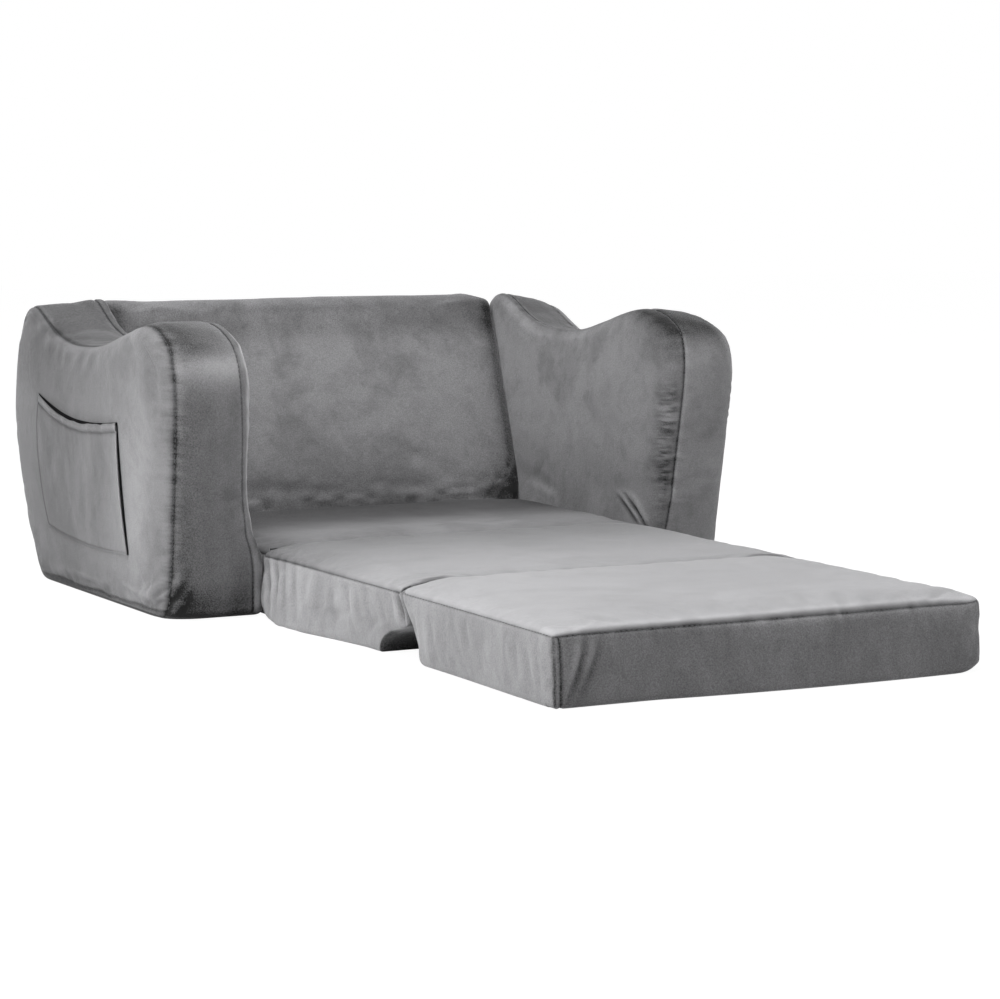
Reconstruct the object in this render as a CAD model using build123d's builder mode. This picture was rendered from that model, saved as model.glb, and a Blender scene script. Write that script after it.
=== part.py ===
from build123d import *
import os

os.makedirs("parts", exist_ok=True)

# Body sizes in millimetres
overall_width = 800.0
arm_width = 112.0
arm_depth = 560.0
arm_height = 372.0
arm_round = 12.0
arm_toe_round = 18.0
seam_inset = 15.0
cover = 3.0
joining_gap = 0.4
half = 0.5

# Side outlines as shares of the arm's depth and height, from the front foot over the top
arm_shares = (
    (0.012, 0), (-0.002, 0.2), (-0.024, 0.444), (-0.042, 0.65), (-0.046, 0.82),
    (-0.02, 0.913), (0.036, 0.957), (0.11, 0.979), (0.2, 0.966), (0.312, 0.925),
    (0.43, 0.888), (0.55, 0.878), (0.652, 0.89), (0.73, 0.922), (0.79, 0.962),
    (0.845, 0.992), (0.888, 0.972), (0.92, 0.92), (0.957, 0.83), (0.985, 0.71),
    (0.996, 0.58), (0.985, 0.44), (0.952, 0.27), (0.9, 0.125), (0.84, 0),
)
back_top_shares = ((0.86, 0.95), (0.89, 0.998), (0.925, 0.965))
back_rear_shares = ((0.925, 0.965), (0.981, 0.62), (0.945, 0.27))
back_foot_share = 0.63
back_heel_shares = (0.842, 0.024)
back_seam_shares = (0.75, 0.9)

# Pocket on the left arm, outline from the rear end of its mouth to the front end
pocket_mouth_shares = ((0.798, 0.683), (0.66, 0.632), (0.5, 0.612), (0.38, 0.62), (0.282, 0.637))
pocket_front_shares = ((0.282, 0.637), (0.261, 0.409), (0.236, 0.191))
pocket_foot_shares = ((0.236, 0.191), (0.48, 0.18), (0.759, 0.21))
pocket_rear_shares = ((0.759, 0.21), (0.816, 0.435), (0.798, 0.683))
pocket_room = 7.0
pocket_cloth = 1.6
pocket_lift = 20.0

# Folding seat
seat_side_gap = 13.0
seat_height = 90.0
seam_height = 78.0
crown_run = 38.0
crown_end_drop = 6.0
front_crown_run = 46.0
front_seam_drop = 0.5
seat_toe_round = 8.0
front_toe_round = 11.0
base_front = 11.3
base_back_gap = 0.5
middle_rear = 8.7
middle_rear_round = 32.0
middle_front = -371.0
front_rear = -373.2
notch_height = 42.0
notch_run = 56.0
front_rear_shoulder = 70.0
front_rear_lean = 38.0
front_rear_foot = 18.0
front_end = -730.5

# Fold line cords and the spine cloth between base and middle panel
fold_line = 10.0
fold_height = 86.0
notch_line = -372.0
notch_line_height = 90.5
cord_radius = 1.0
cord_inset = 40.0
spine_inset = 7.0
spine_thickness = 1.0
spine_floor_gap = 2.0
spine_top_gap = 1.5

# Zips
zip_length = 300.0
tape_width = 24.0
tape_thickness = 0.6
coil_width = 5.0
coil_height = 1.4
slider_length = 11.0
slider_width = 9.0
slider_height = 3.4
slider_clearance = 0.4
slider_start = 134.0
pull_length = 17.0
pull_width = 5.0
pull_thickness = 1.2
pull_slot_length = 5.0
pull_slot_width = 2.4
pull_rise = 2.0
arch_span = 6.0
arch_height = 4.0
arch_bar = 1.2
arch_width = 1.0
middle_zip_share = 0.5
front_zip_share = 0.62

arm_inner = overall_width * half - arm_width
seat_width = 2 * (arm_inner - seat_side_gap)
cord_length = seat_width - 2 * cord_inset
spine_width = seat_width - 2 * spine_inset
base_rear = arm_depth * back_foot_share - base_back_gap
back_lean = arm_depth * (back_top_shares[0][0] - back_foot_share) / (arm_height * back_top_shares[0][1])
arm_front = -(base_front + base_rear) * half
everywhere = overall_width * 2


# Points of an outline given in shares of the arm
def arm_points(shares):
    return [(arm_depth * depth, arm_height * height) for depth, height in shares]


# The same outline moved in by the cover's thickness toward the middle of the arm
def foam_points(shares):
    return [
        (
            depth + cover * (1 - 2 * depth / arm_depth),
            height + cover * (1 - 2 * height / arm_height),
        )
        for depth, height in arm_points(shares)
    ]


# Plane of a side outline, with its first axis to the rear and its second upward
def side_plane(across):
    return Plane(origin=(across, arm_front, 0), x_dir=(0, 1, 0), z_dir=(1, 0, 0))


# Plane lying on a sloping face, with its first axis along the sofa's width
def face_plane(depth, height, run, rise):
    return Plane(origin=(0, arm_front + depth, height), x_dir=(1, 0, 0), z_dir=(0, run, rise))


def keep_piece(piece, name):
    piece.part.label = name
    export_step(piece.part, "parts/" + name + ".step")


# Side outlines of the arm and the back
with BuildSketch() as arm_profile:
    with BuildLine():
        arm_curve = Spline(*arm_points(arm_shares))
        Line(arm_curve @ 1, arm_curve @ 0)
    make_face()
    fillet(arm_profile.vertices().sort_by(Axis.Y)[:2], radius=arm_toe_round)

with BuildSketch() as arm_foam_profile:
    with BuildLine():
        foam_curve = Spline(*foam_points(arm_shares))
        Line(foam_curve @ 1, foam_curve @ 0)
    make_face()
    fillet(arm_foam_profile.vertices().sort_by(Axis.Y)[:2], radius=arm_toe_round - cover)

with BuildSketch() as back_profile:
    with BuildLine():
        back_top = ThreePointArc(*arm_points(back_top_shares))
        back_rear = ThreePointArc(*arm_points(back_rear_shares))
        Polyline(
            back_rear @ 1,
            (arm_depth * back_heel_shares[0], arm_height * back_heel_shares[1]),
            (arm_depth * back_heel_shares[0], 0),
            (arm_depth * back_foot_share, 0),
            back_top @ 0,
        )
    make_face()

# Arm block and its foam
with BuildPart() as arm_block:
    with BuildSketch(side_plane(-overall_width * half)):
        add(arm_profile.sketch)
    extrude(amount=arm_width)
    fillet(arm_block.faces().filter_by(Axis.X).edges(), radius=arm_round)

with BuildPart() as arm_core:
    with BuildSketch(side_plane(-overall_width * half + cover)):
        add(arm_foam_profile.sketch)
    extrude(amount=arm_width - 2 * cover)
    fillet(arm_core.faces().filter_by(Axis.X).edges(), radius=arm_round - cover)

with BuildPart() as arm_skin:
    add(arm_block.part)
    add(arm_core.part, mode=Mode.SUBTRACT)

outer_seam = Plane.YZ.offset(-overall_width * half + seam_inset)
inner_seam = Plane.YZ.offset(-arm_inner - seam_inset)
sole_top = Plane.XY.offset(cover)

with BuildPart() as arm_outer:
    add(arm_skin.part)
    split(bisect_by=outer_seam, keep=Keep.BOTTOM)
    split(bisect_by=sole_top, keep=Keep.TOP)

with BuildPart() as arm_inside:
    add(arm_skin.part)
    split(bisect_by=inner_seam, keep=Keep.TOP)
    split(bisect_by=sole_top, keep=Keep.TOP)

with BuildPart() as arm_boxing:
    add(arm_skin.part)
    split(bisect_by=outer_seam, keep=Keep.TOP)
    split(bisect_by=inner_seam, keep=Keep.BOTTOM)
    split(bisect_by=sole_top, keep=Keep.TOP)

with BuildPart() as arm_sole:
    add(arm_block.part)
    split(bisect_by=sole_top, keep=Keep.BOTTOM)

arm_pieces = {
    "arm_foam": arm_core,
    "arm_outer_panel": arm_outer,
    "arm_inner_panel": arm_inside,
    "arm_boxing": arm_boxing,
    "arm_sole": arm_sole,
}
for name, piece in arm_pieces.items():
    with BuildPart() as left_piece:
        add(piece.part)
    keep_piece(left_piece, "left_" + name)
    with BuildPart() as right_piece:
        mirror(piece.part, about=Plane.YZ)
    keep_piece(right_piece, "right_" + name)

# Side pocket: a shallow tray of cloth, open at the top
with BuildSketch() as pocket_profile:
    with BuildLine():
        Spline(*arm_points(pocket_mouth_shares))
        ThreePointArc(*arm_points(pocket_front_shares))
        ThreePointArc(*arm_points(pocket_foot_shares))
        ThreePointArc(*arm_points(pocket_rear_shares))
    make_face()

with BuildSketch() as pocket_inset:
    add(pocket_profile.sketch)
    offset(amount=-pocket_cloth)

with BuildPart() as left_pocket_panel:
    with BuildSketch(side_plane(-overall_width * half)):
        add(pocket_profile.sketch)
    extrude(amount=-pocket_room - pocket_cloth)
    for lift in (0, pocket_lift):
        with BuildSketch(side_plane(-overall_width * half)):
            with Locations((0, lift)):
                add(pocket_inset.sketch)
        extrude(amount=-pocket_room, mode=Mode.SUBTRACT)
keep_piece(left_pocket_panel, "left_pocket_panel")

# Back between the arms
with BuildPart() as back_block:
    with BuildSketch(side_plane(-arm_inner + joining_gap)):
        add(back_profile.sketch)
    extrude(amount=2 * (arm_inner - joining_gap))

with BuildPart() as back_foam:
    with BuildSketch(side_plane(-arm_inner + joining_gap + cover)):
        add(back_profile.sketch)
        offset(amount=-cover)
    extrude(amount=2 * (arm_inner - joining_gap - cover))
keep_piece(back_foam, "back_foam")

back_seam = Plane(
    origin=(0, arm_front + arm_depth * back_seam_shares[1], arm_height),
    x_dir=(1, 0, 0),
    z_dir=(0, 1, -back_lean),
)
with BuildPart() as back_front_panel:
    add(back_block.part)
    add(back_foam.part, mode=Mode.SUBTRACT)
    split(bisect_by=back_seam, keep=Keep.BOTTOM)
    split(bisect_by=sole_top, keep=Keep.TOP)
keep_piece(back_front_panel, "back_front_panel")

with BuildPart() as back_rear_panel:
    add(back_block.part)
    add(back_foam.part, mode=Mode.SUBTRACT)
    split(bisect_by=back_seam, keep=Keep.TOP)
    split(bisect_by=sole_top, keep=Keep.TOP)
keep_piece(back_rear_panel, "back_rear_panel")

with BuildPart() as back_sole:
    add(back_block.part)
    split(bisect_by=sole_top, keep=Keep.BOTTOM)
keep_piece(back_sole, "back_sole")

# Side outlines of the seat blocks
base_top_rear = base_rear + back_lean * seat_height
with BuildSketch() as base_profile:
    with BuildLine():
        base_crown = TangentArc(
            (base_front + crown_run, seat_height),
            (base_front, seat_height - crown_end_drop),
            tangent=(-1, 0),
        )
        Polyline(
            base_crown @ 0,
            (base_top_rear, seat_height),
            (base_rear, 0),
            (base_front, 0),
            base_crown @ 1,
        )
    make_face()

with BuildSketch() as middle_profile:
    with BuildLine():
        middle_crown = TangentArc(
            (middle_rear - crown_run, seat_height),
            (middle_rear, seat_height - crown_end_drop),
            tangent=(1, 0),
        )
        Polyline(
            middle_crown @ 0,
            (middle_front, seat_height),
            (middle_front, notch_height),
            (middle_front + notch_run, 0),
            (middle_rear, 0),
            middle_crown @ 1,
        )
    make_face()
    fillet(middle_profile.vertices().sort_by(Axis.Y)[:2].sort_by(Axis.X)[-1], radius=middle_rear_round)

with BuildSketch() as front_profile:
    with BuildLine():
        front_crown = TangentArc(
            (front_end + front_crown_run, seat_height),
            (front_end, seam_height - front_seam_drop),
            tangent=(-1, 0),
        )
        Polyline(
            front_crown @ 0,
            (front_rear, seat_height),
            (front_rear, front_rear_shoulder),
            (front_rear - front_rear_lean, front_rear_foot),
            (front_rear - front_rear_lean, 0),
            (front_end, 0),
            front_crown @ 1,
        )
    make_face()
    front_foot = front_profile.vertices().sort_by(Axis.Y)[:2].sort_by(Axis.X)
    fillet(front_foot[0], radius=front_toe_round)
    fillet(front_foot[-1], radius=front_rear_foot - cover)

# Cross outline of the seat blocks: straight sides under a crowned top
with BuildSketch() as seat_cross:
    with BuildLine():
        left_crown = TangentArc(
            (-seat_width * half + crown_run, seat_height),
            (-seat_width * half, seam_height),
            tangent=(-1, 0),
        )
        right_crown = TangentArc(
            (seat_width * half - crown_run, seat_height),
            (seat_width * half, seam_height),
            tangent=(1, 0),
        )
        Line(left_crown @ 0, right_crown @ 0)
        Polyline(
            right_crown @ 1,
            (seat_width * half, 0),
            (-seat_width * half, 0),
            left_crown @ 1,
        )
    make_face()
    fillet(seat_cross.vertices().sort_by(Axis.Y)[:2], radius=seat_toe_round)

# Foam, top panel, boxing and underside of each seat block
cross_plane = Plane(origin=(0, -everywhere, 0), x_dir=(-1, 0, 0), z_dir=(0, 1, 0))
seam_level = Plane.XY.offset(seam_height)
seat_profiles = {"base": base_profile, "middle": middle_profile, "front": front_profile}
for name, profile in seat_profiles.items():
    with BuildPart() as seat_block:
        with BuildSketch(side_plane(-seat_width)):
            add(profile.sketch)
        extrude(amount=2 * seat_width)
        with BuildSketch(cross_plane):
            add(seat_cross.sketch)
        extrude(amount=2 * everywhere, mode=Mode.INTERSECT)
    with BuildPart() as seat_foam:
        with BuildSketch(side_plane(-seat_width)):
            add(profile.sketch)
            offset(amount=-cover)
        extrude(amount=2 * seat_width)
        with BuildSketch(cross_plane):
            add(seat_cross.sketch)
            offset(amount=-cover)
        extrude(amount=2 * everywhere, mode=Mode.INTERSECT)
    keep_piece(seat_foam, name + "_foam")
    with BuildPart() as seat_top_panel:
        add(seat_block.part)
        add(seat_foam.part, mode=Mode.SUBTRACT)
        split(bisect_by=seam_level, keep=Keep.TOP)
    keep_piece(seat_top_panel, name + "_top_panel")
    with BuildPart() as seat_boxing:
        add(seat_block.part)
        add(seat_foam.part, mode=Mode.SUBTRACT)
        split(bisect_by=seam_level, keep=Keep.BOTTOM)
        split(bisect_by=sole_top, keep=Keep.TOP)
    keep_piece(seat_boxing, name + "_boxing")
    with BuildPart() as seat_underside:
        add(seat_block.part)
        split(bisect_by=sole_top, keep=Keep.BOTTOM)
    keep_piece(seat_underside, name + "_underside")

# Spine cloth standing in the fold, and the two cords that the panels turn about
with BuildPart() as spine_cloth:
    with BuildSketch(Plane.XY.offset(spine_floor_gap)):
        with Locations((0, arm_front + fold_line)):
            Rectangle(spine_width, spine_thickness)
    extrude(amount=fold_height - spine_top_gap - spine_floor_gap)
keep_piece(spine_cloth, "spine_cloth")

cord_lines = {"fold_cord": (fold_line, fold_height), "notch_cord": (notch_line, notch_line_height)}
for name, line in cord_lines.items():
    with BuildPart() as cord:
        with BuildSketch(side_plane(-cord_length * half)):
            with Locations(line):
                Circle(cord_radius)
        extrude(amount=cord_length)
    keep_piece(cord, name)

# Zips: coil on its tape, slider with a bridge, pull hung on the bridge
zip_planes = {
    "body": face_plane(
        arm_depth * (back_rear_shares[-1][0] + back_heel_shares[0]) * half,
        arm_height * (back_rear_shares[-1][1] + back_heel_shares[1]) * half,
        arm_height * (back_rear_shares[-1][1] - back_heel_shares[1]),
        -arm_depth * (back_rear_shares[-1][0] - back_heel_shares[0]),
    ),
    "middle": face_plane(
        middle_front + notch_run * middle_zip_share,
        notch_height * (1 - middle_zip_share),
        -notch_height,
        -notch_run,
    ),
    "front": face_plane(
        front_rear - front_rear_lean * front_zip_share,
        front_rear_shoulder - (front_rear_shoulder - front_rear_foot) * front_zip_share,
        front_rear_shoulder - front_rear_foot,
        -front_rear_lean,
    ),
}
slider_floor = tape_thickness + slider_clearance
slider_top = slider_floor + slider_height
for name, plane in zip_planes.items():
    with BuildPart() as zip_chain:
        with BuildSketch(plane):
            Rectangle(zip_length, tape_width)
        extrude(amount=tape_thickness)
        with BuildSketch(plane.offset(tape_thickness)):
            Rectangle(zip_length, coil_width)
        extrude(amount=coil_height)
    keep_piece(zip_chain, name + "_zip_chain")
    with BuildPart() as zip_slider:
        with BuildSketch(plane.offset(slider_floor)):
            with Locations((slider_start, 0)):
                Rectangle(slider_length, slider_width)
        extrude(amount=slider_height)
        with BuildSketch(plane.offset(slider_floor)):
            with Locations((slider_start, 0)):
                Rectangle(slider_length, coil_width + 2 * slider_clearance)
        extrude(amount=coil_height, mode=Mode.SUBTRACT)
        with BuildSketch(plane.offset(slider_top)):
            with Locations((slider_start, 0)):
                Rectangle(arch_span + 2 * arch_bar, arch_width)
        extrude(amount=arch_height + arch_bar)
        with BuildSketch(plane.offset(slider_top)):
            with Locations((slider_start, 0)):
                Rectangle(arch_span, arch_width)
        extrude(amount=arch_height, mode=Mode.SUBTRACT)
    keep_piece(zip_slider, name + "_zip_slider")
    with BuildPart() as zip_pull:
        with BuildSketch(plane.offset(slider_top + pull_rise - pull_thickness * half)):
            with Locations((slider_start + (pull_thickness - pull_length) * half, 0)):
                Rectangle(pull_length, pull_width)
            with Locations((slider_start - (pull_thickness + pull_slot_length) * half, 0)):
                Rectangle(pull_slot_length, pull_slot_width, mode=Mode.SUBTRACT)
        extrude(amount=pull_thickness)
    keep_piece(zip_pull, name + "_zip_pull")
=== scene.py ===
import bpy, math
import numpy as np
from itertools import product
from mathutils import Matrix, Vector
from mathutils.bvhtree import BVHTree


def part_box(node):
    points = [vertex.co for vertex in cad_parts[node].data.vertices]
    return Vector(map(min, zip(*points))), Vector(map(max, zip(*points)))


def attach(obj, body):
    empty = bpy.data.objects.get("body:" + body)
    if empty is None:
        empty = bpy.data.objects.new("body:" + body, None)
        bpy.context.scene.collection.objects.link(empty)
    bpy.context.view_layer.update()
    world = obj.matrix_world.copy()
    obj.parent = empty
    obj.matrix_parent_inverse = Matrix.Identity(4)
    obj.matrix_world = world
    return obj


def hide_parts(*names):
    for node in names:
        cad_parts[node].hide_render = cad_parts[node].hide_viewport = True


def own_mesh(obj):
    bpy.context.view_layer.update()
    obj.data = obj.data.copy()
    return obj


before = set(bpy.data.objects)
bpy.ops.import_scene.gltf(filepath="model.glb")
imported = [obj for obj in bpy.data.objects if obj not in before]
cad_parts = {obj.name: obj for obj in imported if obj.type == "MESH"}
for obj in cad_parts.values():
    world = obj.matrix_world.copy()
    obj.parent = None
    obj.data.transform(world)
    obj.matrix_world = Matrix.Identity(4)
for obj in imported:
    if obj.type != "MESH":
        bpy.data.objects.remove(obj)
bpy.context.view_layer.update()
scene = bpy.context.scene
mm = 0.001
depthShift = -181.8  # y of the arms' front foot, in millimetres
print("frame loaded")


# ---- small helpers, all in millimetres ----
def softNoise(points, size, seed=0):  # smooth value from -1 to 1 at each point
    p = np.asarray(points, float) / size + 31.7 * (seed + 1)
    cell = np.floor(p).astype(np.int64)
    f = p - cell
    f = f * f * (3 - 2 * f)
    total = np.zeros(len(p))
    for corner in product((0, 1), repeat=p.shape[1]):
        key = np.zeros(len(p), np.int64)
        weight = np.ones(len(p))
        for axis, step in enumerate(corner):
            key = (key * 92821 + (cell[:, axis] + step) * 68917 + 40503) % 1000003
            weight *= f[:, axis] if step else 1 - f[:, axis]
        key = (key * key % 1000003 * 7919 + 104729) % 1000003
        total += weight * (key / 500001.5 - 1)
    return total


def ease(t):  # 0 to 1 with soft ends
    t = np.clip(t, 0, 1)
    return t * t * (3 - 2 * t)


def bell(gap, width):  # 1 where the gap is 0, near 0 beyond twice the width
    return np.exp(-(gap / width) ** 2)


def smoothLine(points, count=600):  # cubic line through the points, evenly stepped
    p = np.asarray(points, float)
    t = np.r_[0, np.cumsum(np.hypot(*np.diff(p, axis=0).T) ** 0.5)]
    n = len(p)
    h = np.diff(t)
    a = np.zeros((n, n))
    b = np.zeros((n, 2))
    a[0, 0] = a[-1, -1] = 1
    for i in range(1, n - 1):
        a[i, i - 1:i + 2] = h[i - 1], 2 * (h[i - 1] + h[i]), h[i]
        b[i] = 6 * ((p[i + 1] - p[i]) / h[i] - (p[i] - p[i - 1]) / h[i - 1])
    m = np.linalg.solve(a, b)
    s = np.linspace(0, t[-1], count)
    k = np.clip(np.searchsorted(t, s, side="right") - 1, 0, n - 2)
    l, r = (t[k + 1] - s)[:, None], (s - t[k])[:, None]
    hk = h[k][:, None]
    return (
        (m[k] * l ** 3 + m[k + 1] * r ** 3) / (6 * hk)
        + (p[k] / hk - m[k] * hk / 6) * l
        + (p[k + 1] / hk - m[k + 1] * hk / 6) * r
    )


def arcLine(a, b, c, count=60):  # arc through three points
    a, b, c = (np.asarray(q, float) for q in (a, b, c))
    m = np.array([b - a, c - b])
    centre = np.linalg.solve(m, np.sum(m * np.array([(a + b) / 2, (b + c) / 2]), axis=1))
    angles = [math.atan2(*(q - centre)[::-1]) for q in (a, b, c)]
    turn = (angles[2] - angles[0]) % (2 * math.pi)
    if (angles[1] - angles[0]) % (2 * math.pi) > turn:
        turn -= 2 * math.pi
    t = angles[0] + turn * np.linspace(0, 1, count)
    return centre + np.hypot(*(a - centre)) * np.c_[np.cos(t), np.sin(t)]


def pathLength(line):
    return np.r_[0, np.cumsum(np.hypot(*np.diff(line, axis=0).T))]


def spread(line, count):  # evenly stepped points along a line
    s = pathLength(line)
    t = np.linspace(0, 1, count)
    return np.c_[np.interp(t * s[-1], s, line[:, 0]), np.interp(t * s[-1], s, line[:, 1])]


def roundedLoop(line, corners, radii):  # closed line with its named corners cut round
    loop = np.asarray(line, float)
    for corner, radius in zip(corners, radii):
        s = pathLength(np.vstack([loop, loop[:1]]))
        closed = np.vstack([loop, loop[:1]])
        k = int(np.argmin(np.hypot(*(loop - corner).T)))
        t = np.linspace(-1, 1, 13) * radius + s[k]
        near = (t[0] % s[-1], t[-1] % s[-1])
        a, c = (np.array([np.interp(q, s, closed[:, i]) for i in (0, 1)]) for q in near)
        u = np.linspace(0, 1, 13)[:, None]
        bend = (1 - u) ** 2 * a + 2 * u * (1 - u) * loop[k] + u ** 2 * c
        gap = np.abs((s[:-1] - s[k] + s[-1] / 2) % s[-1] - s[-1] / 2)
        order = np.roll(np.arange(len(loop)), -k)
        rest = [i for i in order if gap[i] > radius]
        loop = np.vstack([bend, loop[rest]])
    return loop


def coons(loop, m, n):  # fills a closed loop with an m by n net
    c0 = loop[:m]
    right = loop[m - 1:m + n - 1]
    c2 = loop[m + n - 2:2 * m + n - 2][::-1]
    left = np.vstack([loop[2 * m + n - 3:], loop[:1]])[::-1]
    u = (pathLength(c0) / pathLength(c0)[-1] + pathLength(c2) / pathLength(c2)[-1]) / 2
    v = (pathLength(left) / pathLength(left)[-1] + pathLength(right) / pathLength(right)[-1]) / 2
    u, v = u[:, None, None], v[None, :, None]
    net = (1 - v) * c0[:, None] + v * c2[:, None] + (1 - u) * left[None] + u * right[None]
    return net - (1 - u) * (1 - v) * c0[0] - u * (1 - v) * c0[-1] - (1 - u) * v * c2[0] - u * v * c2[-1]


def loopOrder(m, n):  # net vertices that lie on the loop, in its order
    side = [i * n for i in range(m)] + [(m - 1) * n + j for j in range(1, n)]
    return np.array(side + [i * n + n - 1 for i in range(m - 2, -1, -1)] + [j for j in range(n - 2, 0, -1)])


def loopNormals(loop):
    d = np.roll(loop, -1, axis=0) - np.roll(loop, 1, axis=0)
    d = d / np.hypot(*d.T)[:, None]
    out = np.c_[d[:, 1], -d[:, 0]]
    area = np.sum(loop[:, 0] * np.roll(loop[:, 1], -1) - np.roll(loop[:, 0], -1) * loop[:, 1])
    return out if area > 0 else -out


def netFaces(m, n, start=0):
    i, j = np.meshgrid(np.arange(m - 1), np.arange(n - 1), indexing="ij")
    k = (i * n + j).ravel() + start
    return np.c_[k, k + n, k + n + 1, k + 1]


# A sewn block: two filled nets joined by a boxing strip of the given width.
# rings are ("low", turn), ("mid", share) or ("high", turn), and low and high give each outline point's edge rounding.
def sewnBlock(loop, m, n, width, rings, low, high):
    order = loopOrder(m, n)
    count = len(order)
    out = loopNormals(loop)
    lineAt, acrossAt = [], []
    for kind, value in rings:
        size = high if kind == "high" else low
        if kind == "mid":
            across, inset = low[:, 0] + value * (width - low[:, 0] - high[:, 0]), np.zeros(count)
        else:
            across, inset = size[:, 0] * (1 - math.cos(value)), size[:, 1] * (1 - math.sin(value))
            across = width - across if kind == "high" else across
        lineAt.append(loop - out * inset[:, None])
        acrossAt.append(across)
    along = pathLength(np.vstack([loop, loop[:1]]))[:-1]
    steps = [0.0]
    for k in range(1, len(rings)):
        moved = np.hypot(acrossAt[k] - acrossAt[k - 1], np.linalg.norm(lineAt[k] - lineAt[k - 1], axis=1))
        steps.append(steps[-1] + float(np.median(moved)))
    steps = np.array(steps)
    points, alongs, ringPlace = [], [], []
    for which in (0, -1):
        net = coons(lineAt[which], m, n).reshape(-1, 2)
        points.append(np.c_[net, np.full(len(net), acrossAt[which].mean())])
        gap = np.hypot(net[:, None, 0] - lineAt[which][None, :, 0], net[:, None, 1] - lineAt[which][None, :, 1])
        alongs.append(along[gap.argmin(1)])
        ringPlace.append(-gap.min(1) if which == 0 else steps[-1] + gap.min(1))
    for k in range(1, len(rings) - 1):
        points.append(np.c_[lineAt[k], acrossAt[k]])
        alongs.append(along)
        ringPlace.append(np.full(count, steps[k]))
    netSize = m * n
    belts = [order] + [2 * netSize + np.arange(count) + count * k for k in range(len(rings) - 2)] + [order + netSize]
    faces = [netFaces(m, n), netFaces(m, n, netSize)[:, ::-1]]
    strip = [np.full(len(net), mark) for net, mark in zip(faces, (-1, -2))]
    for k, (a, b) in enumerate(zip(belts, belts[1:])):
        faces.append(np.c_[a, b, np.roll(b, -1), np.roll(a, -1)])
        strip.append(np.full(count, k))
    return {
        "points": np.vstack(points), "faces": np.vstack(faces), "strip": np.concatenate(strip),
        "along": np.concatenate(alongs), "ring": np.concatenate(ringPlace), "steps": steps,
    }


def normalsOf(points, faces):
    p = points[faces]
    across = np.cross(p[:, 2] - p[:, 0], p[:, 3] - p[:, 1])
    total = np.zeros_like(points)
    for k in range(4):
        np.add.at(total, faces[:, k], across)
    return total / np.maximum(np.linalg.norm(total, axis=1), 1e-9)[:, None]


def turnedOut(block):  # faces look outward
    p = block["points"][block["faces"]]
    volume = np.sum(np.einsum("ij,ij->i", p[:, 0], np.cross(p[:, 1], p[:, 2]) + np.cross(p[:, 2], p[:, 3])))
    if volume < 0:
        block["faces"] = block["faces"][:, ::-1]
    return block


def newMesh(name, points, faces):
    mesh = bpy.data.meshes.new(name)
    mesh.from_pydata((np.asarray(points) * mm).tolist(), [], np.asarray(faces).tolist())
    mesh.polygons.foreach_set("use_smooth", [True] * len(mesh.polygons))
    mesh.update()
    return mesh


def finer(block):  # rounder and finer net, seams and panels kept by name
    mesh = newMesh("work", block["points"], block["faces"])
    for name, where, kind in (("along", "POINT", "FLOAT"), ("ring", "POINT", "FLOAT"), ("strip", "FACE", "INT")):
        layer = mesh.attributes.new(name, kind, where)
        layer.data.foreach_set("value", block[name].astype(np.float32 if kind == "FLOAT" else np.int32))
    work = bpy.data.objects.new("work", mesh)
    scene.collection.objects.link(work)
    finerNet = work.modifiers.new("finer", "SUBSURF")
    finerNet.levels = finerNet.render_levels = 1
    seen = bpy.context.evaluated_depsgraph_get()
    out = bpy.data.meshes.new_from_object(work.evaluated_get(seen), preserve_all_data_layers=True, depsgraph=seen)
    points = np.zeros(len(out.vertices) * 3)
    out.vertices.foreach_get("co", points)
    faces = np.zeros(len(out.loops), np.int32)
    out.loops.foreach_get("vertex_index", faces)
    done = {"points": points.reshape(-1, 3) / mm, "faces": faces.reshape(-1, 4), "steps": block["steps"]}
    for name, size in (("along", len(out.vertices)), ("ring", len(out.vertices)), ("strip", len(out.polygons))):
        values = np.zeros(size, np.int32 if name == "strip" else float)
        out.attributes[name].data.foreach_get("value", values)
        done[name] = values
    bpy.data.objects.remove(work)
    bpy.data.meshes.remove(mesh)
    bpy.data.meshes.remove(out)
    return done


def creases(points, normals, folds):  # each fold: start, end, half width, height
    rise = np.zeros(len(points))
    for start, end, width, height in folds:
        a, b = np.array(start, float), np.array(end, float)
        t = np.clip((points - a) @ (b - a) / np.sum((b - a) ** 2), 0, 1)
        side = np.cross(normals, (b - a) / np.linalg.norm(b - a))
        off = points - a - t[:, None] * (b - a)
        gap = np.linalg.norm(off, axis=1)
        beside = gap * np.where(np.sum(off * side, axis=1) > 0, 1, -1)
        ridge = bell(gap, width) - 0.8 * bell(beside - 1.7 * width, width)
        rise += height * ridge * np.sin(math.pi * (0.1 + 0.8 * t))
    return rise


simulation = {"quality": 5, "mass": 0.15, "stiffness": 12, "bending": 0.15, "shrink": -0.012, "steps": 14}


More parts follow.
